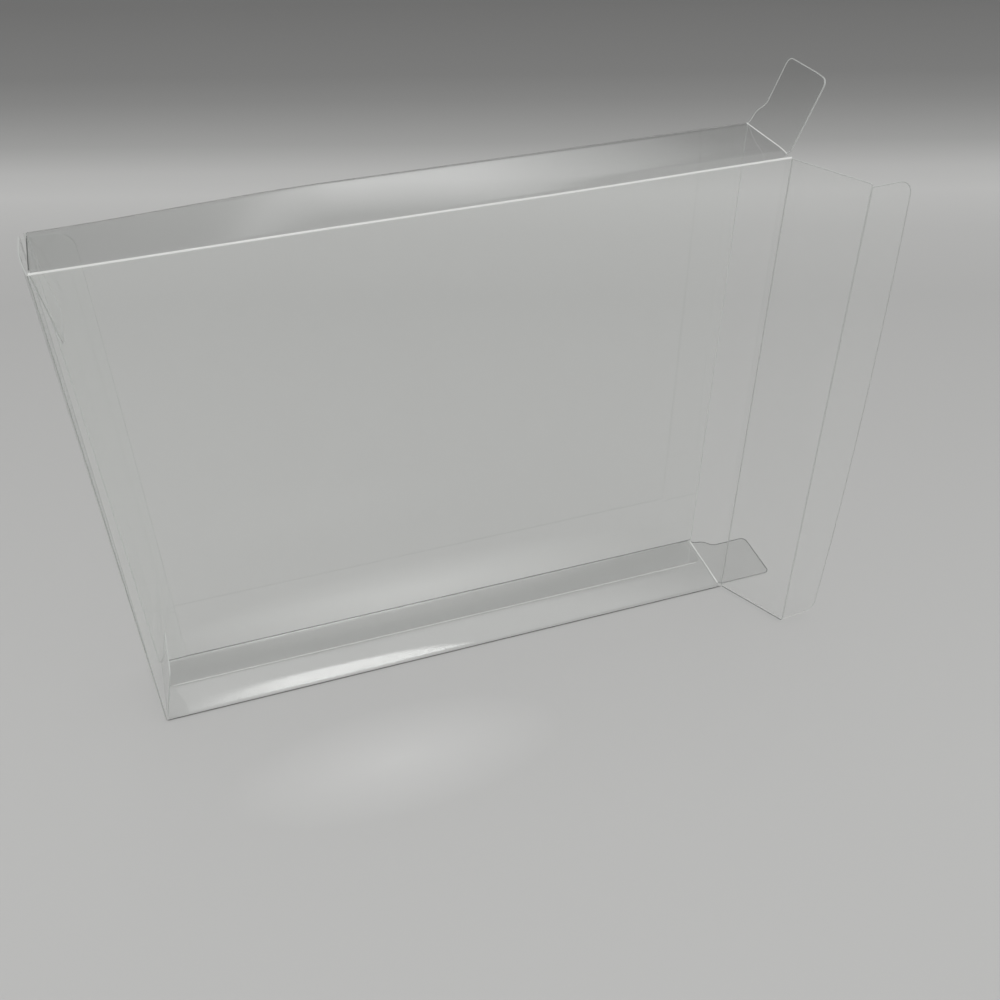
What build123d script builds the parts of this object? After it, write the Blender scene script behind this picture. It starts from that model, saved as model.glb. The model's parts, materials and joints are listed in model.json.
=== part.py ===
from build123d import *
import math
import os

# Clear folding protector for a boxed game, die-cut and scored from one sheet of PET film.
# The sleeve is four panels glued along a seam on the base. Each end closes with a lid and its tuck
# flap, hinged on the front panel, over two dust flaps on the top and base. The left end is closed
# and the right end is open.
# Origin: centre of the sleeve's base. X runs along the length, Y to the back, Z up. Sizes in mm,
# angles in degrees.

# Sleeve
length = 242.0
depth = 32.5
height = 199.0
film = 0.4
fold_radius = 0.35  # of the long folds, at the middle of the film
seam_width = 15.5  # strip of the back panel glued inside the base
seam_setback = 2.5  # from each end of the sleeve
seam_corner = 3.0

# Lids and tuck flaps
right_lid_open = 149.0  # from closed
left_lid_open = 3.0
tuck_length = 15.5
tuck_corner = 5.0
tuck_step = 1.0  # of the tuck flap inside its lid, at each end of the fold
right_tuck_fold = 62.0  # out of the lid's plane
left_tuck_fold = 103.0
lid_corner = 0.8

# Dust flaps
dust_length = 25.5
dust_front = 1.7  # from the front of the sleeve to the flap's front edge
dust_root_back = 1.0  # from the back of the sleeve to the flap's edge, at the crease
dust_wide_back = 2.0  # past the root
dust_narrow_back = 6.4  # along the outer part, which clears the tuck flap
root_length = 1.2  # along the flap, where the edge has come in from its root
shoulder_start = 5.5  # where the S-shaped shoulder begins
shoulder_end = 9.0
dust_taper = 0.8  # of the wide part, from the root to the shoulder
dust_tip_corner = 2.5
relief_radius = 1.2  # round relief at the front end of each dust flap's crease
right_top_raise = 68.0  # above the top panel's plane
left_top_lean = 8.0  # past square, into the sleeve
left_base_lean = 13.0

# Clearances
crease_gap = 0.1  # film to film along a scored crease that moves
tuck_fold_gap = 0.2  # the same along the lid's free edge, whose tuck flap folds past square
lid_end_gap = 0.15  # lid to the dust flaps' film, above and below
tuck_back_gap = 0.1  # tuck flap to the back panel
dust_lid_gap = 0.15  # folded dust flap to the closed lid
seam_fold_gap = 0.1  # base panel's back edge to the fold of the glued strip

# Derived
half_film = film / 2
front_y = -depth / 2
back_y = depth / 2
lid_hinge_x = length / 2 - half_film
lid_hinge_y = front_y + half_film
lid_width = depth - 2 * film - tuck_back_gap
lid_low = film + lid_end_gap
lid_high = height - lid_low
dust_crease_x = lid_hinge_x - film - dust_lid_gap
front_panel_end = lid_hinge_x - half_film - crease_gap
dust_panel_end = dust_crease_x - half_film - crease_gap
base_panel_back = back_y - half_film - fold_radius - seam_fold_gap
fold_run = 2 * fold_radius + film  # flat film on a folded dust flap, from its crease to the panel's end
crease_front = front_y + dust_front + relief_radius
crease_back = back_y - dust_root_back


def film_ring(base):
    """A closed loop of film in the YZ plane, its underside at z = base and its four folds rounded."""
    tall = height - base
    outside = RectangleRounded(depth, tall, fold_radius + half_film)
    inside = RectangleRounded(depth - 2 * film, tall - 2 * film, fold_radius - half_film)
    return Pos(0, base + tall / 2) * (outside - inside)


def film_section():
    """The sleeve's film in the YZ plane: a loop over the base panel, which the glued strip lies on."""
    loop_back = Pos((back_y + base_panel_back) / 2, 0) * Rectangle(back_y - base_panel_back, height / 2)
    base_loop = film_ring(0) - loop_back
    strip_width = Pos(back_y - seam_width / 2, 0) * Rectangle(seam_width, height / 2)
    glued_strip = film_ring(film) & strip_width
    return Plane.YZ * (base_loop + glued_strip)


def end_cut(start, low, high, front, back):
    """A block that trims film off both ends of the sleeve from x = start outwards."""
    block = Pos(start + length / 2, (front + back) / 2, (low + high) / 2)
    block *= Box(length, back - front, high - low)
    return block + mirror(block, about=Plane.YZ)


def seam_trim():
    """What is cut from the glued strip at its two ends, leaving rounded free corners."""
    strip_front = back_y - seam_width
    strip_end = length / 2 - seam_setback
    full = Pos(0, strip_front + seam_width / 2) * Rectangle(length, seam_width)
    kept = Pos(0, strip_front + seam_width / 2) * Rectangle(2 * strip_end, seam_width)
    front_corners = kept.vertices().group_by(Axis.Y)[0]
    kept = fillet(front_corners, seam_corner)
    inside_back = Pos(0, back_y - half_film) * Rectangle(length, film)
    return Pos(0, 0, film) * extrude(full - kept - inside_back, film)


def at_top(base_shape):
    """The top panel's match of a shape at the base panel."""
    return Pos(0, 0, height) * mirror(base_shape, about=Plane.XY)


def dust_outline():
    """A dust flap laid flat along +X from its crease on the Y axis of the sleeve's frame."""
    front_edge = front_y + dust_front
    wide = back_y - dust_wide_back
    narrow = back_y - dust_narrow_back
    tapered = wide - dust_taper
    middle = (shoulder_start + shoulder_end) / 2
    edges = Polyline(
        (shoulder_end, narrow), (dust_length, narrow), (dust_length, front_edge), (0, front_edge),
        (0, back_y - dust_root_back), (root_length, wide), (shoulder_start, tapered),
    )
    shoulder = Spline(
        (shoulder_start, tapered), (middle, (tapered + narrow) / 2), (shoulder_end, narrow),
        tangents=[(1, 0), (1, 0)], tangent_scalars=[1.0, 1.0],
    )
    flap = make_face(edges + shoulder)
    tip_corners = flap.vertices().group_by(Axis.X)[-1]
    flap = fillet(tip_corners, dust_tip_corner)
    relief = Pos(0, front_edge) * Circle(relief_radius)
    return flap - relief


def dust_flap():
    """A free dust flap laid flat, with its crease along the Y axis and the film about z = 0."""
    plate = extrude(dust_outline(), half_film, both=True)
    roll = Pos(0, (crease_front + crease_back) / 2) * Rot(X=90)
    roll *= Cylinder(half_film, crease_back - crease_front)
    return plate + roll


def fold_seat():
    """What is cut from the base panel's left end, where the folded dust flap's film carries on."""
    seat = Pos(fold_run - dust_crease_x - length / 2, (crease_front + crease_back) / 2, half_film)
    return seat * Box(length, crease_back - crease_front, film)


def folded_dust_flap(lean):
    """The left end's base dust flap, folded up from the base panel and leaning into the sleeve."""
    crease = -dust_crease_x
    tip_x = crease + dust_length * math.sin(math.radians(lean))
    tip_z = half_film + dust_length * math.cos(math.radians(lean))
    bend = FilletPolyline(
        (crease + fold_run, half_film), (crease, half_film), (tip_x, tip_z), radius=fold_radius,
    )
    strip = extrude(Plane.XZ * trace(bend, line_width=film), depth / 2, both=True)
    outline = Plane.YZ * (Rot(Z=90) * mirror(dust_outline(), about=Plane.XZ))
    prism = extrude(outline, length)
    upright = Pos(-length, 0, half_film) * prism
    root = Pos(crease, (crease_front + crease_back) / 2, 0)
    root *= Box(2 * fold_run, crease_back - crease_front, 2 * film)
    return strip & (upright + root)


def sleeve():
    """Front, top, back and base panels, and the glued strip."""
    body = extrude(film_section(), length / 2, both=True)
    corner = film + fold_radius
    body -= end_cut(front_panel_end, 0, height, front_y, front_y + corner)
    body -= end_cut(dust_panel_end, 0, corner, front_y, back_y - corner)
    body -= end_cut(dust_panel_end, height - corner, height, front_y, back_y - corner)
    body -= seam_trim()
    body -= fold_seat()
    return body - at_top(fold_seat())


def lid():
    """A lid flat along +X from its hinge axis at the origin, with its height in place."""
    plate_end = lid_width - half_film - tuck_fold_gap
    tall = lid_high - lid_low
    plate = Pos(plate_end / 2, 0, lid_low + tall / 2) * Box(plate_end, film, tall)
    free_corners = plate.edges().filter_by(Axis.Y).group_by(Axis.X)[-1]
    plate = fillet(free_corners, lid_corner)
    return plate + Pos(0, 0, lid_low + tall / 2) * Cylinder(half_film, tall)


def tuck_flap():
    """A tuck flap flat along +X from its fold axis at the origin, with its height in place."""
    low = lid_low + tuck_step
    tall = lid_high - lid_low - 2 * tuck_step
    plate = Pos(tuck_length / 2, 0, low + tall / 2) * Box(tuck_length, film, tall)
    outer_corners = plate.edges().filter_by(Axis.Y).group_by(Axis.X)[-1]
    plate = fillet(outer_corners, tuck_corner)
    return plate + Pos(0, 0, low + tall / 2) * Cylinder(half_film, tall)


def end_pieces(lid_open, tuck_fold):
    """The right end's lid and tuck flap, opened and folded by these angles."""
    lid_heading = 90 - lid_open
    at_hinge = Pos(lid_hinge_x, lid_hinge_y) * Rot(Z=lid_heading)
    at_fold = at_hinge * Pos(lid_width, 0, 0) * Rot(Z=tuck_fold)
    return at_hinge * lid(), at_fold * tuck_flap()


def right_dust_flap(low, raise_angle):
    """A right dust flap on its crease at height low, raised above the flat by an angle."""
    return Pos(dust_crease_x, 0, low) * Rot(Y=-raise_angle) * dust_flap()


right_lid, right_tuck_flap = end_pieces(right_lid_open, right_tuck_fold)
left_end = end_pieces(left_lid_open, left_tuck_fold)
left_lid, left_tuck_flap = [mirror(piece, about=Plane.YZ) for piece in left_end]

parts = {
    "sleeve": sleeve(),
    "left_top_dust_flap": at_top(folded_dust_flap(left_top_lean)),
    "left_base_dust_flap": folded_dust_flap(left_base_lean),
    "left_lid": left_lid,
    "left_tuck_flap": left_tuck_flap,
    "right_lid": right_lid,
    "right_tuck_flap": right_tuck_flap,
    "right_top_dust_flap": right_dust_flap(height - half_film, right_top_raise),
    "right_base_dust_flap": right_dust_flap(half_film, 0),
}

os.makedirs("parts", exist_ok=True)
for name, shape in parts.items():
    export_step(shape, f"parts/{name}.step")
    print(name, round(shape.volume, 1))
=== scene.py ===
# %% [markdown]
# A clear folding protector is one sheet of PET film, 0.4 mm thick, die-cut and scored while flat
# and then folded round a boxed game. This notebook dresses the measured model of it. We load that
# model first, because it fixes where every panel, crease and flap is, and each new piece takes its
# place from it.

# %% Load the measured model
import json
import math
import bmesh
import bpy
from mathutils import Matrix, Vector


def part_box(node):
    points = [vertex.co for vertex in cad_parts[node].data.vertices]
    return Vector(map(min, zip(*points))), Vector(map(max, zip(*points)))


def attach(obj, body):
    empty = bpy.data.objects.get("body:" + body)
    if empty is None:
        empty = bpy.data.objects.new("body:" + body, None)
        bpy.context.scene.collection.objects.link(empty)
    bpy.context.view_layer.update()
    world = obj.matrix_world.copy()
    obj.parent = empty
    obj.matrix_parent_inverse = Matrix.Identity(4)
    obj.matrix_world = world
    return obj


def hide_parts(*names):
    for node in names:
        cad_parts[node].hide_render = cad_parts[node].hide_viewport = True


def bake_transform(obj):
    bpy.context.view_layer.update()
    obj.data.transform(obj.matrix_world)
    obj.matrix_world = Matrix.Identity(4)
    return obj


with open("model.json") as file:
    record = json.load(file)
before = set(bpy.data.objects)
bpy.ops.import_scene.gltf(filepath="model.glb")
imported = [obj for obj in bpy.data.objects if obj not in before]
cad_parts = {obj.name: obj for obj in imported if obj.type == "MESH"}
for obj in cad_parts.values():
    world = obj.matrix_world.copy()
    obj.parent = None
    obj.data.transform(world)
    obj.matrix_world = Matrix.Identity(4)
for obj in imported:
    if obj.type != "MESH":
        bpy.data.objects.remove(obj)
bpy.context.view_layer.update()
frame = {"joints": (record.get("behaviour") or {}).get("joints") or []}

scene = bpy.context.scene
mm = 0.001
degree = math.pi / 180

# %% [markdown]
# The sizes of the sheet come from the model's own boxes and hinge axes. We read them once here, so
# that a change of the model's length or height changes every piece below.

# %% Read the sheet's sizes
hinges = {joint["name"]: Vector(joint["pos_m"]) for joint in frame["joints"]}
sleeve_low, sleeve_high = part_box("sleeve")
length = sleeve_high.x - sleeve_low.x
depth = sleeve_high.y - sleeve_low.y
height = sleeve_high.z
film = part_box("right_base_dust_flap")[1].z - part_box("right_base_dust_flap")[0].z
half = film / 2
lid_x, lid_y = hinges["right_lid_crease"].x, hinges["right_lid_crease"].y
lid_width = (hinges["right_tuck_crease"] - hinges["right_lid_crease"]).length
lid_low, lid_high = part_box("right_lid")[0].z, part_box("right_lid")[1].z
dust_x = hinges["right_top_dust_crease"].x
print("film", round(film / mm, 2), "mm, sleeve", round(length / mm, 1), round(depth / mm, 1),
      round(height / mm, 1), "mm, lid", round(lid_width / mm, 1), "mm wide")

# %% [markdown]
# The camera stands in front of the sleeve, a little left of its middle, and looks down at it. Its
# place and angles are written as real sizes: they were found by fitting a pinhole camera to the
# corners of the sleeve in the photograph.

# %% Place the camera
camera_place = Vector((-79.25, -326.7, 353.6)) * mm
camera_down, camera_heading, camera_roll = 40.26 * degree, 17.38 * degree, -0.59 * degree
camera_data = bpy.data.cameras.new("camera")
camera_data.sensor_width = 36
camera_data.lens = 40.35
camera_data.clip_start = 10 * mm
camera = bpy.data.objects.new("camera", camera_data)
scene.collection.objects.link(camera)
turn = (Matrix.Rotation(-camera_heading, 4, "Z")
        @ Matrix.Rotation(math.pi / 2 - camera_down, 4, "X")
        @ Matrix.Rotation(camera_roll, 4, "Z"))
camera.matrix_world = Matrix.Translation(camera_place) @ turn
scene.camera = camera
print("the camera is", round((camera_place - Vector((0, 0, height / 2))).length / mm), "mm away")

# %% [markdown]
# No film is quite flat, so wide, low waves bend what it mirrors, and hands leave a faint haze on it
# in soft patches. Every finish of the film below shares both, each with its own values. So they are
# one node group, which puts out a height for a Bump node and a roughness.

# %% Wavy film
haze_scale, haze_detail, haze_span = 28, 5, (0.5, 0.8)
waves = bpy.data.node_groups.new("wavy_film", "ShaderNodeTree")
for socket in ("Wave size", "Wave height", "Clear", "Hazy"):
    waves.interface.new_socket(socket, in_out="INPUT", socket_type="NodeSocketFloat")
for socket in ("Height", "Roughness"):
    waves.interface.new_socket(socket, in_out="OUTPUT", socket_type="NodeSocketFloat")
wave_in = waves.nodes.new("NodeGroupInput")
wave_out = waves.nodes.new("NodeGroupOutput")
wave_place = waves.nodes.new("ShaderNodeTexCoord")
swell = waves.nodes.new("ShaderNodeTexNoise")
swell.inputs["Detail"].default_value = 1.0
swell.inputs["Roughness"].default_value = 0.3
lift = waves.nodes.new("ShaderNodeMath")
lift.operation = "MULTIPLY"
haze = waves.nodes.new("ShaderNodeTexNoise")
haze.inputs["Scale"].default_value = haze_scale
haze.inputs["Detail"].default_value = haze_detail
patches = waves.nodes.new("ShaderNodeMapRange")
patches.inputs["From Min"].default_value, patches.inputs["From Max"].default_value = haze_span
for source, target in ((wave_place.outputs["Object"], swell.inputs["Vector"]),
                       (wave_place.outputs["Object"], haze.inputs["Vector"]),
                       (wave_in.outputs["Wave size"], swell.inputs["Scale"]),
                       (swell.outputs["Fac"], lift.inputs[0]),
                       (wave_in.outputs["Wave height"], lift.inputs[1]),
                       (haze.outputs["Fac"], patches.inputs["Value"]),
                       (wave_in.outputs["Clear"], patches.inputs["To Min"]),
                       (wave_in.outputs["Hazy"], patches.inputs["To Max"]),
                       (lift.outputs[0], wave_out.inputs["Height"]),
                       (patches.outputs["Result"], wave_out.inputs["Roughness"])):
    waves.links.new(source, target)
print("wavy film group has", len(waves.nodes), "nodes")

# %% [markdown]
# Clear film is glass to Blender: a Principled BSDF with full transmission and PET's index of
# refraction. The light that reaches the table through the film, and the light that the table sends
# back, can't find their way through real refraction. So shadow rays and diffuse rays go straight
# through a tinted Transparent BSDF instead, and the sheet casts the faint shadow that clear film
# has.

# %% Clear film
pet_ior = 1.57
wave_size = 9


def clear_material(name, colour, clear, hazy, transmission, tint, wave_height):
    """Film that lets light through: Principled to look at, and Transparent for rays of light."""
    material = bpy.data.materials.new(name)
    material.use_nodes = True
    nodes, links = material.node_tree.nodes, material.node_tree.links
    shader = nodes["Principled BSDF"]
    shader.inputs["Base Color"].default_value = (*colour, 1)
    shader.inputs["IOR"].default_value = pet_ior
    shader.inputs["Transmission Weight"].default_value = transmission
    wavy = nodes.new("ShaderNodeGroup")
    wavy.node_tree = waves
    wavy.inputs["Wave size"].default_value = wave_size
    wavy.inputs["Wave height"].default_value = wave_height
    wavy.inputs["Clear"].default_value = clear
    wavy.inputs["Hazy"].default_value = hazy
    bump = nodes.new("ShaderNodeBump")
    bump.inputs["Distance"].default_value = 1.0
    links.new(wavy.outputs["Height"], bump.inputs["Height"])
    links.new(wavy.outputs["Roughness"], shader.inputs["Roughness"])
    links.new(bump.outputs["Normal"], shader.inputs["Normal"])
    through = nodes.new("ShaderNodeBsdfTransparent")
    through.inputs["Color"].default_value = (tint, tint, tint, 1)
    rays = nodes.new("ShaderNodeLightPath")
    surface = shader.outputs["BSDF"]
    for kind in ("Is Diffuse Ray", "Is Shadow Ray"):
        mix = nodes.new("ShaderNodeMixShader")
        links.new(rays.outputs[kind], mix.inputs["Fac"])
        links.new(surface, mix.inputs[1])
        links.new(through.outputs["BSDF"], mix.inputs[2])
        surface = mix.outputs["Shader"]
    links.new(surface, nodes["Material Output"].inputs["Surface"])
    return material


print("PET bends light by an index of", pet_ior)

# %% [markdown]
# Where the sheet was worked it is less clear. A scored crease is a little hazy, and a fold that is
# bent far turns white; the white finish is also a painted highlight, which stands in for the glint
# along a rounded fold or a cut edge. The steel rule leaves a burr along a cut, whose pale colour is
# partly a painted highlight of the cut edge too. The dark finish is painted shade: a fold or edge
# that lies on the table gets a dark colour that stands in for its contact shade. The cut edge
# itself is rough. Each of them is the same film with other values, and each piece below carries all
# six as its material slots, in this order.

# %% Six finishes of the film
# Each finish has a colour, a clear and a hazy roughness, a transmission, a tint and a wave height.
finishes = {
    "pet_film": ((0.985, 0.99, 0.985), 0.004, 0.015, 1.0, 0.97, 0.03 * mm),
    "scored_film": ((0.8, 0.82, 0.8), 0.06, 0.15, 0.92, 0.95, 0.0),
    # White: film whitened by bending, and also a painted highlight for the glint of a fold or edge.
    "whitened_and_highlight_film": ((0.97, 0.98, 0.96), 0.15, 0.3, 0.3, 0.85, 0.0),
    # Pale: a burr along a cut, and also a painted highlight of the cut edge.
    "burr_and_highlight_film": ((0.86, 0.88, 0.86), 0.15, 0.3, 0.45, 0.8, 0.0),
    # Dark grey: painted contact shade, where a fold or edge lies on the table.
    "painted_contact_shade_film": ((0.3, 0.31, 0.3), 0.15, 0.3, 0.6, 0.6, 0.0),
    "cut_edge": ((0.66, 0.68, 0.66), 0.2, 0.35, 0.1, 0.85, 0.0),
}
film_slots = [clear_material(name, *values) for name, values in finishes.items()]
clear, scored, whitened_and_highlight, burr_and_highlight, painted_contact_shade, cut = range(len(film_slots))
print("materials:", [material.name for material in film_slots])

# %% [markdown]
# The sheet is made in the order that the factory makes it: die-cut, scored, folded. die_cut gives a
# flat blank with rounded corners and, where it is asked for, a narrow border that the steel rule
# burred. score cuts lines across the blank so that it can bend there, and mark gives the faces
# between two such lines a finish.

# %% Helpers: die-cut, score and mark
burr = 0.3 * mm
corner_segments = 8


def die_cut(outline, rounded, border=0, finish=0):
    """A flat blank in the XY plane. rounded gives a corner's number and its radius."""
    blank = bmesh.new()
    corners = [blank.verts.new((*point, 0)) for point in outline]
    blank.faces.new(corners)
    for number, radius in rounded.items():
        bmesh.ops.bevel(blank, geom=[corners[number]], offset=radius, affect="VERTICES",
                        segments=corner_segments, profile=0.5, material=-1)
    if border:
        edge = bmesh.ops.inset_region(blank, faces=blank.faces[:], thickness=border,
                                      use_boundary=True, use_even_offset=True)
        for face in edge["faces"]:
            face.material_index = finish
    return blank


def score(blank, across, places):
    """Cuts lines through the blank: across x or y (0 or 1) at these places."""
    normal = [0, 0, 0]
    normal[across] = 1
    for place in places:
        point = [0, 0, 0]
        point[across] = place
        geometry = blank.verts[:] + blank.edges[:] + blank.faces[:]
        bmesh.ops.bisect_plane(blank, geom=geometry, dist=1e-7, plane_co=point, plane_no=normal)


def mark(blank, axis, low, high, finish):
    """Gives the faces from low to high along x or y (0 or 1) a finish."""
    for face in blank.faces:
        if low < face.calc_center_median()[axis] < high:
            face.material_index = finish


print("the steel rule burrs", round(burr / mm, 2), "mm of film along a cut")

# %% [markdown]
# A crease of any angle takes the same short run of film, which bends to an arc, so it is scored
# with several lines close together. The panels get lines too, further apart, because they bow.

# %% Helpers: where to score
crease_run, crease_lines = 0.55 * mm, 5


def evenly(low, high, count):
    """count places between low and high, without the two ends."""
    return [low + (high - low) * step / (count + 1) for step in range(1, count + 1)]


def crease_places(place):
    """Where to score a crease so that it bends smoothly."""
    return [place, *evenly(place, place + crease_run, crease_lines), place + crease_run]


print("a crease takes", round(crease_run / mm, 2), "mm of film")

# %% [markdown]
# walk follows the middle of the film from its start, round each crease, and tells where a point of
# the blank ends up and which way the film runs there. The setback is how far before the sharp
# corner the arc of a crease starts.

# %% Helpers: fold
nearly_flat = 1e-6


def setback(turn):
    """From the start of a crease's arc to the corner that it rounds off."""
    if abs(turn) < nearly_flat:
        return crease_run / 2
    return crease_run / abs(turn) * math.tan(abs(turn) / 2)


def walk(distance, start, heading, folds):
    """Point and heading after this distance along the film. folds lists (place, turn)."""
    point, angle, at = Vector(start), heading, 0.0
    for place, turn in folds:
        step = min(distance, place) - at
        point += step * Vector((math.cos(angle), math.sin(angle)))
        at += step
        if distance <= place:
            return point, angle
        arc = min(distance - place, crease_run)
        swing = turn * arc / crease_run
        chord = arc if abs(swing) < nearly_flat else arc * math.sin(swing / 2) / (swing / 2)
        middle = angle + swing / 2
        point += chord * Vector((math.cos(middle), math.sin(middle)))
        angle += swing
        at += arc
        if distance <= place + crease_run:
            return point, angle
    return point + (distance - at) * Vector((math.cos(angle), math.sin(angle))), angle


print("setback of a right angle", round(setback(math.pi / 2) / mm, 2), "mm")

# %% [markdown]
# The rim that it makes is the cut edge of the film. The modifier counts the rim's slot from the
# slot of the face beside it and stops at the last one, so the cut edge is the last of the six
# slots, and every rim gets it.

# %% Helper: thicken
sharp_from = 40 * degree


def film_piece(name, blank, replaced):
    """Gives a folded blank its thickness and its materials."""
    mesh = bpy.data.meshes.new(name)
    bmesh.ops.recalc_face_normals(blank, faces=blank.faces)
    blank.to_mesh(mesh)
    blank.free()
    piece = bpy.data.objects.new(name, mesh)
    scene.collection.objects.link(piece)
    for material in film_slots:
        mesh.materials.append(material)
    wall = piece.modifiers.new("thickness", "SOLIDIFY")
    wall.thickness = film
    wall.offset = 0
    wall.use_even_offset = True
    wall.material_offset_rim = cut
    graph = bpy.context.evaluated_depsgraph_get()
    solid = bpy.data.meshes.new_from_object(piece.evaluated_get(graph))
    piece.modifiers.clear()
    piece.data = solid
    bpy.data.meshes.remove(mesh)
    solid.name = name
    solid.polygons.foreach_set("use_smooth", [True] * len(solid.polygons))
    solid.set_sharp_from_angle(angle=sharp_from)
    if replaced:
        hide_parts(*replaced)
    print(name, len(solid.polygons), "faces")
    return piece


# %% [markdown]
# Real film isn't as square as its drawing. In the photograph the ends stand out by up to a
# millimetre, the back corner at the left end sags a little, and the top panel arches at the open
# end. settle moves every point of the finished folds by that much, so that pieces which meet stay
# together.

# %% Helper: settle
still_span = 30 * mm     # each side of the middle, where nothing moves
crown, crown_back_drop, crown_lip_drop, lip = 1.2 * mm, 0.9 * mm, 0.6 * mm, 8 * mm
right_out, left_out, left_back_out = 0.1 * mm, 0.8 * mm, 1.5 * mm
left_sag, left_back_sag = 0.3 * mm, 2.4 * mm


def smooth(value, low, high):
    """0 at low, 1 at high, with soft ends."""
    share = min(max((value - low) / (high - low), 0), 1)
    return share * share * (3 - 2 * share)


def settle(x, y, z):
    """Where a point of the ideal sheet is on the real one."""
    left, right = smooth(-x, still_span, length / 2), smooth(x, still_span, length / 2)
    up = (z / height) ** 2
    back = min(max(y / depth + 0.5, 0), 1)
    arched = crown - crown_back_drop * back
    arched -= crown_lip_drop * smooth(-y, depth / 2 - lip, depth / 2)
    shift = right_out * right - (left_out + left_back_out * back * up) * left
    rise = up * (right * arched - left * (left_sag + left_back_sag * back))
    return (x + shift, y, z + rise)


front_corner = (lid_x, lid_y, height)
print("the open end's front corner settles by",
      [round((b - a) / mm, 2) for a, b in zip(front_corner, settle(*front_corner))], "mm")

# %% [markdown]
# The lids' headings at rest are the model's own: the direction between the two hinge axes of each,
# seen from above. The folds of the tuck flaps and dust flaps are the angles in the photograph,
# which the model has within a few degrees.

# %% Angles at rest
def direction(start, end):
    """Which way one hinge axis lies from another, in plan."""
    return math.atan2(end.y - start.y, end.x - start.x)


right_heading = direction(hinges["right_lid_crease"], hinges["right_tuck_crease"])
left_heading = math.pi - direction(hinges["left_lid_crease"], hinges["left_tuck_crease"])
right_tuck_fold, left_tuck_fold = 62 * degree, 98.4 * degree
top_raise = 68 * degree
left_top_turn, left_base_turn = -98 * degree, 103 * degree
print("the right lid points", round(right_heading / degree, 1), "degrees from +X, the left",
      round(left_heading / degree, 1), "degrees from -X")

# %% [markdown]
# The sleeve is four panels and a glued strip in one run of film: base, front, top, back, and the
# strip that lies on the base. First we add up where its four long folds are along that run.

# %% The sleeve's long folds
seam_width, seam_setback, seam_corner = 15.5 * mm, 2.5 * mm, 3.0 * mm
seam_gap = 0.1 * mm      # from the base panel's back edge to the fold of the strip
seam_air = 0.02 * mm     # between the strip and the base panel
joint_air = 0.02 * mm    # between two pieces that meet at a crease
quarter = math.pi / 2
inset = setback(quarter)

front_mid, back_mid = -depth / 2 + half, depth / 2 - half
base_start = back_mid - inset - seam_gap
strip_mid = film + half + seam_air
runs = [base_start - front_mid - inset, height - film - 2 * inset, depth - film - 2 * inset,
        height - half - strip_mid - 2 * inset]
long_folds, reached = [], 0.0
for run in runs:
    reached += run
    long_folds.append((reached, -quarter))
    reached += crease_run
girth = reached + back_mid - inset - (depth / 2 - seam_width)
base_end, front_end, top_end, back_end = [place for place, _ in long_folds]
front_start, top_start, back_start, strip_start = [place + crease_run for place, _ in long_folds]
print("the girth of the sheet is", round(girth / mm, 1), "mm")

# %% [markdown]
# Its blank is drawn with x along the sleeve and y along the run of film. The steps at both ends
# are where the dust flaps' creases sit further in than the lids' do.

# %% The sleeve's blank
def end_steps(base_turn, top_turn, lid_turn):
    """One end of the blank, from the base's back edge to the glued strip's free edge."""
    base_x = dust_x - setback(base_turn) - joint_air
    front_x = lid_x - setback(lid_turn) - joint_air
    top_x = dust_x - setback(top_turn) - joint_air
    strip_x = length / 2 - seam_setback
    return [(base_x, 0), (base_x, base_end), (front_x, base_end), (front_x, top_start),
            (top_x, top_start), (top_x, top_end), (length / 2, top_end), (length / 2, back_end),
            (strip_x, strip_start), (strip_x, girth)]


right_end = end_steps(0, top_raise, right_heading)
left_end = end_steps(left_base_turn, left_top_turn, left_heading)
blank = die_cut(right_end + [(-x, run) for x, run in reversed(left_end)],
                {len(right_end) - 1: seam_corner, len(right_end): seam_corner})
for place, _ in long_folds:
    score(blank, 1, crease_places(place))
for low, high, count in ((0, base_end, 15), (front_start, front_end, 20), (top_start, top_end, 12),
                         (back_start, back_end, 20), (strip_start, girth, 6)):
    score(blank, 1, evenly(low, high, count))
score(blank, 0, evenly(-length / 2, length / 2, 48))
print("the sleeve's blank has", len(blank.faces), "faces")

# %% [markdown]
# The cut ends of the back panel and the strip's free edge show as pale lines through the front
# panel: a pale burr on the ends, partly painted highlight, and a white line of painted highlight
# along the strip's edge. The folds at the top are white from bending and partly a painted
# highlight, and the two at the base are dark with painted contact shade where they lie on the
# table.

# %% The sleeve's finishes
score(blank, 0, [burr - length / 2, length / 2 - burr])
score(blank, 1, [girth - burr])
# Pale burr on the cut ends, partly a painted highlight; a white line of painted highlight on the
# strip's free edge.
mark(blank, 0, length / 2 - burr, length / 2, burr_and_highlight)
mark(blank, 0, -length / 2, burr - length / 2, burr_and_highlight)
mark(blank, 1, 0, top_end, clear)
mark(blank, 1, girth - burr, girth, whitened_and_highlight)
# Top folds: white, partly painted highlight. Base folds: dark, painted contact shade.
for place, finish in ((base_end, painted_contact_shade), (front_end, whitened_and_highlight), (top_end, whitened_and_highlight),
                      (back_end, painted_contact_shade)):
    mark(blank, 1, place, place + crease_run, finish)
print(sum(face.material_index != clear for face in blank.faces), "faces are not clear")

# %% [markdown]
# Unsupported film bows. The base panel rests on the table at its two long folds, and the glued
# strip stiffens its back half, so it rises like a very low tent with its ridge at the strip's free
# edge. The two slopes mirror different parts of the room: the front one shows a long streak of
# light, and the strip stays darker.

# %% Fold the sleeve
seam_front = depth / 2 - seam_width
tent, front_bow = 0.3 * mm, 0.4 * mm
bulge, bulge_span = 0.1 * mm, (-115 * mm, 30 * mm)     # of the tent's front slope, along x


def arch(value, low, high):
    """0 at low and high, 1 halfway, smooth."""
    share = min(max((value - low) / (high - low), 0), 1)
    return math.sin(math.pi * share) ** 2


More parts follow.
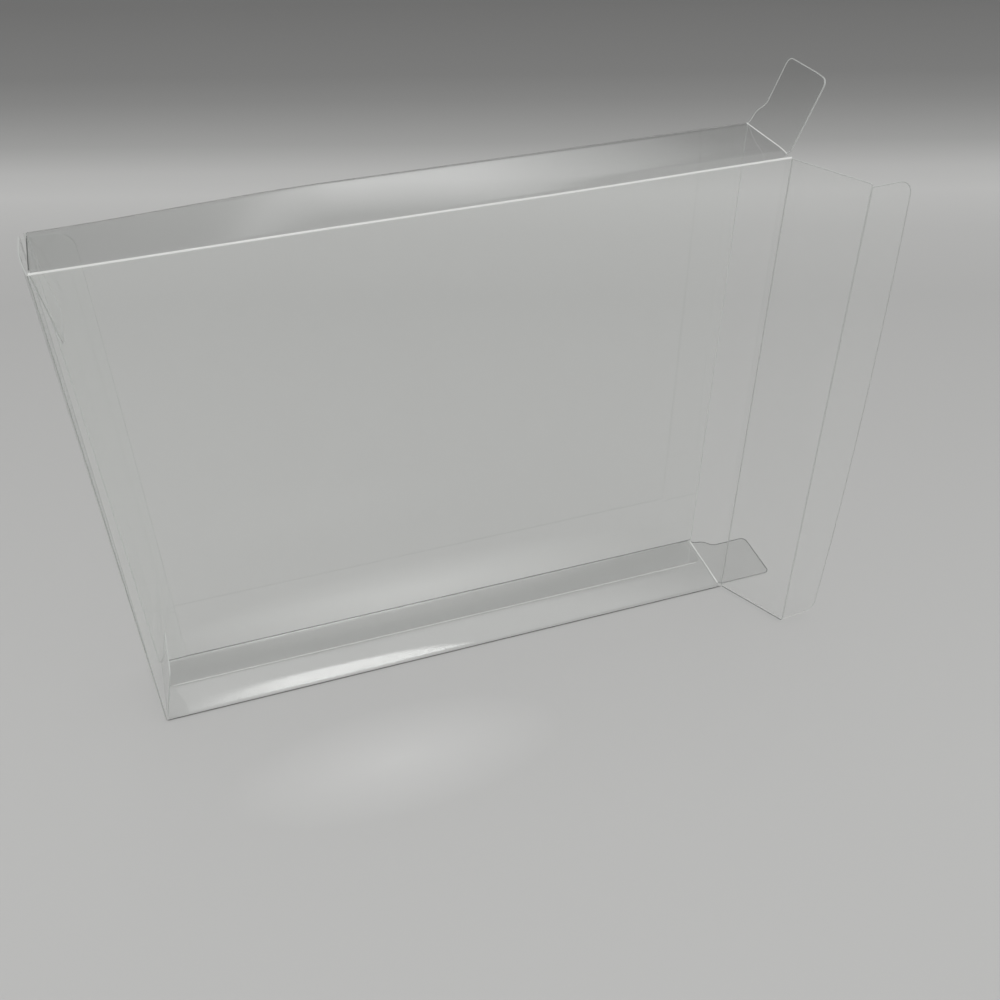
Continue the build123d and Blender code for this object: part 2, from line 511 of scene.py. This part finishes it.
for vertex in blank.verts:
    x, run, _ = vertex.co
    (y, z), angle = walk(run, (base_start, half), math.pi, long_folds)
    inward = Vector((math.sin(angle), -math.cos(angle)))
    bow = -front_bow * arch(run, front_start, front_end) * arch(x, -length / 2, length / 2)
    if run <= base_end or run >= strip_start:
        share = (y - front_mid) / (seam_front - front_mid)
        bow = tent * (share if share < 1 else max((back_mid - y) / (back_mid - seam_front), 0))
        bow += bulge * math.sin(math.pi * min(max(share, 0), 1)) * arch(x, *bulge_span)
    y, z = Vector((y, z)) + bow * inward
    vertex.co = settle(x, y, z)
sleeve_film = film_piece("sleeve_film", blank, ["sleeve"])
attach(sleeve_film, "sleeve")

# %% [markdown]
# A lid and its tuck flap are one run of film too. Their blank has x along the film, from the front
# panel's end outwards, and y up the lid. A lid's shape changes with height, because nothing holds
# its free edge: heading and fold are its angles, width stretches it, bow pushes its middle out, and
# rise lifts its free top corner.

# %% Helper: fold a lid
tuck_length, tuck_corner, tuck_step = 15.5 * mm, 5.0 * mm, 1.0 * mm
lid_corner = 0.8 * mm
lid_middle = (lid_low + lid_high) / 2
lid_half = (lid_high - lid_low) / 2


def lid_place(x, z, side, shape):
    """Where a point of the lid's blank is: x along the film, z up."""
    up = (z - lid_middle) / lid_half
    turned, fold = shape["heading"](up), shape["fold"](up)
    reach = shape["width"](up) * lid_width
    lid_run = lid_width - setback(turned) - setback(fold)
    stretch = (reach - setback(turned) - setback(fold)) / lid_run
    share = min(max((x - crease_run) / lid_run, 0), 1)
    x = x - share * lid_run + share * lid_run * stretch
    start = (lid_x - setback(turned), lid_y)
    point, _ = walk(x, start, 0, [(0, turned), (crease_run + lid_run * stretch, fold)])
    outward = Vector((math.sin(turned), -math.cos(turned)))
    point += outward * shape["bow"](up) * math.sin(math.pi * share)
    return settle(side * point.x, point.y, z + shape["rise"] * share * max(up, 0))


print("a lid is", round(2 * lid_half / mm, 1), "mm high")

# %% [markdown]
# The open lid is cut with a narrow border. Along its foot a thin dark line is painted shade, for
# the shade where the foot stands over the table, and the white line above it is a painted
# highlight.

# %% Helper: a lid with its tuck flap
lid_lines, tuck_lines, rows = 10, 5, 40


def lid_with_tuck(name, side, shape):
    """A lid with its tuck flap in one piece. side is 1 at the right end and -1 at the left."""
    lid_node, tuck_node = name + "_lid", name + "_tuck_flap"
    heading, fold = shape["heading"](0), shape["fold"](0)
    fold_start = crease_run + lid_width - setback(heading) - setback(fold)
    tuck_start = fold_start + crease_run / 2
    tip = fold_start + crease_run + tuck_length - setback(fold)
    begin, low, high = crease_run + joint_air, lid_low, lid_high
    outline = [(begin, low), (tuck_start, low), (tuck_start, low + tuck_step),
               (tip, low + tuck_step), (tip, high - tuck_step), (tuck_start, high - tuck_step),
               (tuck_start, high), (begin, high)]
    blank = die_cut(outline, {1: lid_corner, 3: tuck_corner, 4: tuck_corner, 6: lid_corner},
                    shape["burr"], scored)
    score(blank, 0, crease_places(fold_start) + evenly(begin, fold_start, lid_lines)
          + evenly(fold_start + crease_run, tip, tuck_lines))
    score(blank, 1, [low + tuck_step, low + tuck_step + burr, *evenly(low, high, rows)])
    # Painted shade: a dark line along the foot. Painted highlight: a white line just above it.
    if shape["burr"]:
        mark(blank, 1, low, low + burr, painted_contact_shade)
        mark(blank, 1, low + tuck_step, low + tuck_step + burr, whitened_and_highlight)
    mark(blank, 0, begin, begin + burr, clear)
    mark(blank, 0, fold_start, fold_start + crease_run, scored)
    for vertex in blank.verts:
        vertex.co = lid_place(vertex.co.x, vertex.co.y, side, shape)
    lid = film_piece(name + "_lid_film", blank, [lid_node, tuck_node])
    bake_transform(lid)


print("a tuck flap is", round(tuck_length / mm, 1), "mm wide")

# %% [markdown]
# A second, narrow piece is the lid's own crease. It bends between the sleeve and the lid, and its
# two long edges lie against theirs.


def lid_crease(name, side, shape):
    """The crease between the front panel and a lid."""
    outline = [(0, lid_low), (crease_run, lid_low), (crease_run, lid_high), (0, lid_high)]
    strip = die_cut(outline, {})
    score(strip, 0, evenly(0, crease_run, crease_lines))
    score(strip, 1, evenly(lid_low, lid_high, rows))
    mark(strip, 0, 0, crease_run, scored)
    for vertex in strip.verts:
        vertex.co = lid_place(vertex.co.x, vertex.co.y, side, shape)
    crease = film_piece(name + "_lid_crease_film", strip, [])
    bisector = shape["heading"](0) / 2
    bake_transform(crease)


# %% [markdown]
# Each lid gets its own shape: up is 1 at its top and -1 at its bottom. The right lid hangs free and
# is a little wider at the bottom, and its tuck flap curls. The left lid is shut at the top, where
# it bulges, and stands off at the bottom.

# %% The two lids
lid_shapes = {
    "right": (1, {"heading": lambda up: right_heading - (2.75 + 0.75 * up) * degree,
                  "fold": lambda up: right_tuck_fold + (10 * up * up - 6.25) * degree,
                  "width": lambda up: 0.970 - 0.024 * up,
                  "bow": lambda up: 0.0,
                  "rise": 0.5 * mm,
                  "burr": burr}),
    "left": (-1, {"heading": lambda up: left_heading - 2.25 * (1 - up) * degree,
                  "fold": lambda up: left_tuck_fold + 2.25 * (1 - up) * degree,
                  "width": lambda up: 1.0,
                  "bow": lambda up: 1.0 * mm * (up + 1) / 2,
                  "rise": 0.0,
                  "burr": 0}),
}
for name, (side, shape) in lid_shapes.items():
    lid_with_tuck(name, side, shape)
    lid_crease(name, side, shape)

# %% [markdown]
# The dust flaps close the ends behind the lids. Their back edge steps in along an S-shaped
# shoulder, to leave room for the tuck flap, and a small round relief at the front of the crease
# stops the film from tearing there. The outline is drawn from the crease outwards, as on the die.

# %% Helper: a dust flap
dust_length, dust_tip_corner = 25.5 * mm, 2.5 * mm
dust_front, dust_root_back = -depth / 2 + 1.7 * mm, depth / 2 - 1.0 * mm
dust_wide, dust_tapered, dust_narrow = [depth / 2 - back * mm for back in (2.0, 2.8, 6.4)]
root_straight, root_length = 0.3 * mm, 1.2 * mm
shoulder_start, shoulder_end = 5.5 * mm, 9.0 * mm
root_corner, shoulder_corner = 1.0 * mm, 1.5 * mm
relief_radius = 1.2 * mm


def dust_outline(past):
    """A dust flap's outline. The flap starts at x = past, and its crease lies before that."""
    relief = [(past + relief_radius * math.cos(angle * degree),
               dust_front + relief_radius * math.sin(angle * degree))
              for angle in range(0, 91, 15)]
    return relief + [
        (0, dust_front + relief_radius), (0, dust_root_back),
        (past + root_straight, dust_root_back), (past + root_length, dust_wide),
        (past + shoulder_start, dust_tapered), (past + shoulder_end, dust_narrow),
        (past + dust_length, dust_narrow), (past + dust_length, dust_front)]


def dust_flap_film(name, body, axis_z, side, turn, replaced):
    """A dust flap with its crease. turn is positive where it folds up."""
    before = setback(turn)
    past = crease_run - before
    outline = dust_outline(past)
    tip = len(outline) - 1
    rounded = {tip - 4: root_corner, tip - 3: shoulder_corner, tip - 2: shoulder_corner,
               tip - 1: dust_tip_corner, tip: dust_tip_corner}
    # At the open end the border is a pale burr, partly painted highlight, on the raised flap, and a
    # dark line of painted shade on the flap that lies flat.
    blank = die_cut(outline, rounded, burr if side > 0 else 0, burr_and_highlight if turn else painted_contact_shade)
    score(blank, 0, crease_places(0)[1:] + evenly(crease_run, past + dust_length, 8))
    score(blank, 1, evenly(dust_front, dust_root_back, 8))
    # At the open end the crease is white, partly from bending and partly a painted highlight.
    mark(blank, 0, 0, crease_run, whitened_and_highlight if side > 0 else scored)
    for vertex in blank.verts:
        x, y, _ = vertex.co
        point, _ = walk(x, (dust_x - before, axis_z), 0, [(0, turn)])
        vertex.co = settle(side * point.x, y, point.y)
    flap = film_piece(name, blank, replaced)
    if body == "sleeve":
        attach(flap, "sleeve")
        return
    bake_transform(flap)


print("a dust flap is", round(dust_length / mm, 1), "mm long")

# %% [markdown]
# The two at the open end are bare film with a line round them: on the raised one a pale burr that
# is partly a painted highlight, and on the one that lies on the table a dark line of painted shade.
# The two at the left end are folded in behind their lid and stay with the sleeve.

# %% Four dust flaps
top_mid = height - half
dust_flap_film("right_top_dust_film", "right_top_dust_flap", top_mid, 1, top_raise,
               ["right_top_dust_flap"])
dust_flap_film("right_base_dust_film", "right_base_dust_flap", half, 1, 0,
               ["right_base_dust_flap"])
dust_flap_film("left_top_dust_film", "sleeve", top_mid, -1, left_top_turn, ["left_top_dust_flap"])
dust_flap_film("left_base_dust_film", "sleeve", half, -1, left_base_turn, ["left_base_dust_flap"])

# %% [markdown]
# The table is pale, plain and dull.

# %% Floor
floor_size, floor_drop = 4.0, 0.05 * mm
floor_mesh = bmesh.new()
bmesh.ops.create_grid(floor_mesh, x_segments=1, y_segments=1, size=floor_size)
bmesh.ops.translate(floor_mesh, verts=floor_mesh.verts, vec=(0, 0, -floor_drop))
floor_data = bpy.data.meshes.new("floor")
floor_mesh.to_mesh(floor_data)
floor_mesh.free()
floor = bpy.data.objects.new("floor", floor_data)
scene.collection.objects.link(floor)
floor_material = bpy.data.materials.new("floor")
floor_material.use_nodes = True
floor_data.materials.append(floor_material)
floor_nodes, floor_links = floor_material.node_tree.nodes, floor_material.node_tree.links
floor_shader = floor_nodes["Principled BSDF"]
floor_shader.inputs["Roughness"].default_value = 0.8
floor_shader.inputs["Specular IOR Level"].default_value = 0.1
floor_place = floor_nodes.new("ShaderNodeTexCoord")
print("the floor is", 2 * floor_size, "m wide")

# %% [markdown]
# The table fades to a mid grey well behind the sleeve, where the photograph's own table runs out of
# light. That fade is in the floor's colour, as greys by distance in metres from a fixed point in
# front of the sleeve, so the light on the object stays as it is.

# %% The table's fade
greys = [(0.17, 0.54), (0.25, 0.535), (0.42, 0.495), (0.61, 0.45), (0.70, 0.48), (0.76, 0.525),
         (0.80, 0.48), (0.85, 0.36), (0.90, 0.295), (0.94, 0.25), (1.0, 0.21), (1.15, 0.18),
         (1.2, 0.17)]
warmth = 0.985           # of the blue in each grey


def ramp_node(nodes, stops):
    """A Color Ramp. stops lists (position, red, green, blue)."""
    node = nodes.new("ShaderNodeValToRGB")
    elements = node.color_ramp.elements
    elements[0].position, elements[1].position = stops[0][0], stops[-1][0]
    for position, *_ in stops[1:-1]:
        elements.new(position)
    for element, (_, *colour) in zip(elements, stops):
        element.color = (*colour, 1)
    return node


near, far = greys[0][0], greys[-1][0]
away = floor_nodes.new("ShaderNodeMapping")
away.vector_type = "TEXTURE"
away.inputs["Location"].default_value = (camera_place.x, camera_place.y, 0)
away.inputs["Rotation"].default_value = (0, 0, -camera_heading)
split = floor_nodes.new("ShaderNodeSeparateXYZ")
fade = floor_nodes.new("ShaderNodeMapRange")
fade.inputs["From Min"].default_value = near
fade.inputs["From Max"].default_value = far
ramp = ramp_node(floor_nodes, [((distance - near) / (far - near), grey, grey, grey * warmth)
                               for distance, grey in greys])
floor_links.new(floor_place.outputs["Object"], away.inputs["Vector"])
floor_links.new(away.outputs["Vector"], split.inputs["Vector"])
floor_links.new(split.outputs["Y"], fade.inputs["Value"])
floor_links.new(fade.outputs["Result"], ramp.inputs["Fac"])
print("the floor's grey goes from", greys[0][1], "to", greys[-1][1])

# %% [markdown]
# The sleeve throws two soft pools of light on the table, one before it and one close behind. Each
# is a spherical gradient, stretched by a Mapping node, which lifts the floor's colour where it
# lies.

# %% Pools of light
pools = (((-38, -62), (66, 26), 0.17), ((-8, 24), (112, 20), 0.3))     # centre, radii, lift
glow = floor_nodes.new("ShaderNodeVectorMath")
glow.operation = "SCALE"
floor_links.new(ramp.outputs["Color"], glow.inputs[0])
floor_links.new(glow.outputs["Vector"], floor_shader.inputs["Base Color"])
total = None
for centre, radii, pool_lift in pools:
    pool = floor_nodes.new("ShaderNodeMapping")
    pool.vector_type = "TEXTURE"
    pool.inputs["Location"].default_value = (centre[0] * mm, centre[1] * mm, 0)
    pool.inputs["Scale"].default_value = (radii[0] * mm, radii[1] * mm, 1)
    soft = floor_nodes.new("ShaderNodeTexGradient")
    soft.gradient_type = "SPHERICAL"
    lifted = floor_nodes.new("ShaderNodeMath")
    lifted.operation = "MULTIPLY_ADD"
    lifted.inputs[1].default_value = pool_lift
    lifted.inputs[2].default_value = 1
    floor_links.new(floor_place.outputs["Object"], pool.inputs["Vector"])
    floor_links.new(pool.outputs["Vector"], soft.inputs["Vector"])
    floor_links.new(soft.outputs["Fac"], lifted.inputs[0])
    if total:
        floor_links.new(total, lifted.inputs[2])
    total = lifted.outputs[0]
floor_links.new(total, glow.inputs["Scale"])
print(len(pools), "pools of light")

# %% [markdown]
# Clear film shows only what it mirrors, so the room is laid out for its reflections: it is dim low
# down behind the sleeve and brighter overhead. A window stands high behind, and its lower edge is
# the streak in the base panel; a fainter one lower down shows in the top panel. One ramp gives the
# room's brightness by height. Two more hold the windows and the bright wall in front in their red,
# green and blue, one by height and one by heading.

# %% The room's ramps
world = bpy.data.worlds.new("room")
world.use_nodes = True
room_nodes, room_links = world.node_tree.nodes, world.node_tree.links


def by_height(elevation, *colour):
    """A stop at an elevation in degrees. The ramp reads the height of the direction, its sine."""
    return (math.sin(math.radians(elevation)), *colour)


def by_heading(heading, *colour):
    """A stop at a heading in degrees from +Y towards +X."""
    return (heading / 360 + 0.5, *colour)


room = ramp_node(room_nodes, [
    by_height(0, 0.07, 0.07, 0.07), by_height(44.8, 0.08, 0.08, 0.08),
    by_height(47.4, 0.67, 0.67, 0.67), by_height(56, 0.7, 0.7, 0.7), by_height(72, 1, 1, 1),
    (1, 1, 1, 1)])
heights = ramp_node(room_nodes, [
    by_height(9, 0, 0, 0), by_height(19, 0, 0, 1), by_height(21, 0, 1, 1),
    by_height(24.2, 0, 1, 1), by_height(25.8, 0, 0, 1), by_height(40, 0, 0, 1),
    by_height(50.1, 0, 0, 0), by_height(50.6, 1, 0, 0), by_height(64, 1, 0, 0),
    by_height(72, 0, 0, 0)])
headings = ramp_node(room_nodes, [
    by_heading(-90, 0, 0, 1), by_heading(-50, 0, 0, 0), by_heading(-7, 0, 0, 0),
    by_heading(1, 1, 0, 0), by_heading(9, 1, 1, 0), by_heading(16, 1, 1, 0),
    by_heading(21, 0, 0.5, 0), by_heading(28, 0, 0, 0), by_heading(50, 0, 0, 0),
    by_heading(90, 0, 0, 1)])
print("the room's ramps have",
      [len(node.color_ramp.elements) for node in (room, heights, headings)], "stops")

# %% [markdown]
# The direction of a ray gives both: its Z is the height, and the angle of its X and Y the heading.
# The product of the two colours, summed over red, green and blue with the strength of each light,
# is added to the room's own brightness.

# %% Light
window, low_window, front_wall = 3.5, 0.8, 0.75
room_level = 1.5
sky_place = room_nodes.new("ShaderNodeTexCoord")
sky_split = room_nodes.new("ShaderNodeSeparateXYZ")
around = room_nodes.new("ShaderNodeMath")
around.operation = "ARCTAN2"
heading_share = room_nodes.new("ShaderNodeMath")
heading_share.operation = "MULTIPLY_ADD"
heading_share.inputs[1].default_value = 1 / (2 * math.pi)
heading_share.inputs[2].default_value = 0.5
strength = room_nodes.new("ShaderNodeVectorMath")
strength.operation = "MULTIPLY"
strength.inputs[1].default_value = (window, low_window, front_wall)
lit = room_nodes.new("ShaderNodeVectorMath")
lit.operation = "DOT_PRODUCT"
level = room_nodes.new("ShaderNodeMath")
level.operation = "MULTIPLY_ADD"
level.inputs[1].default_value = room_level
for source, target in ((sky_place.outputs["Generated"], sky_split.inputs["Vector"]),
                       (sky_split.outputs["Z"], room.inputs["Fac"]),
                       (sky_split.outputs["Z"], heights.inputs["Fac"]),
                       (sky_split.outputs["X"], around.inputs[0]),
                       (sky_split.outputs["Y"], around.inputs[1]),
                       (around.outputs[0], heading_share.inputs[0]),
                       (heading_share.outputs[0], headings.inputs["Fac"]),
                       (heights.outputs["Color"], strength.inputs[0]),
                       (strength.outputs["Vector"], lit.inputs[0]),
                       (headings.outputs["Color"], lit.inputs[1]),
                       (room.outputs["Color"], level.inputs[0]),
                       (lit.outputs["Value"], level.inputs[2]),
                       (level.outputs[0], room_nodes["Background"].inputs["Color"])):
    room_links.new(source, target)
scene.world = world
print("the room has", len(room_nodes), "nodes")

# %% [markdown]
# The room's light already reaches the table through the film's Transparent BSDF. It would count
# twice if rays from the table also found the room by refraction, so caustics are off. Many layers
# of film lie behind one another, which takes more bounces than Blender's default. The table is flat
# and lights nothing that diffuse rays can see, so one diffuse bounce is enough.

# %% Rays
scene.view_settings.view_transform = "Standard"
scene.cycles.caustics_reflective = False
scene.cycles.caustics_refractive = False
scene.cycles.transparent_max_bounces = 32
scene.cycles.transmission_bounces = 16
scene.cycles.max_bounces = 16
scene.cycles.diffuse_bounces = 1
print("a ray may pass", scene.cycles.transparent_max_bounces, "layers of film")
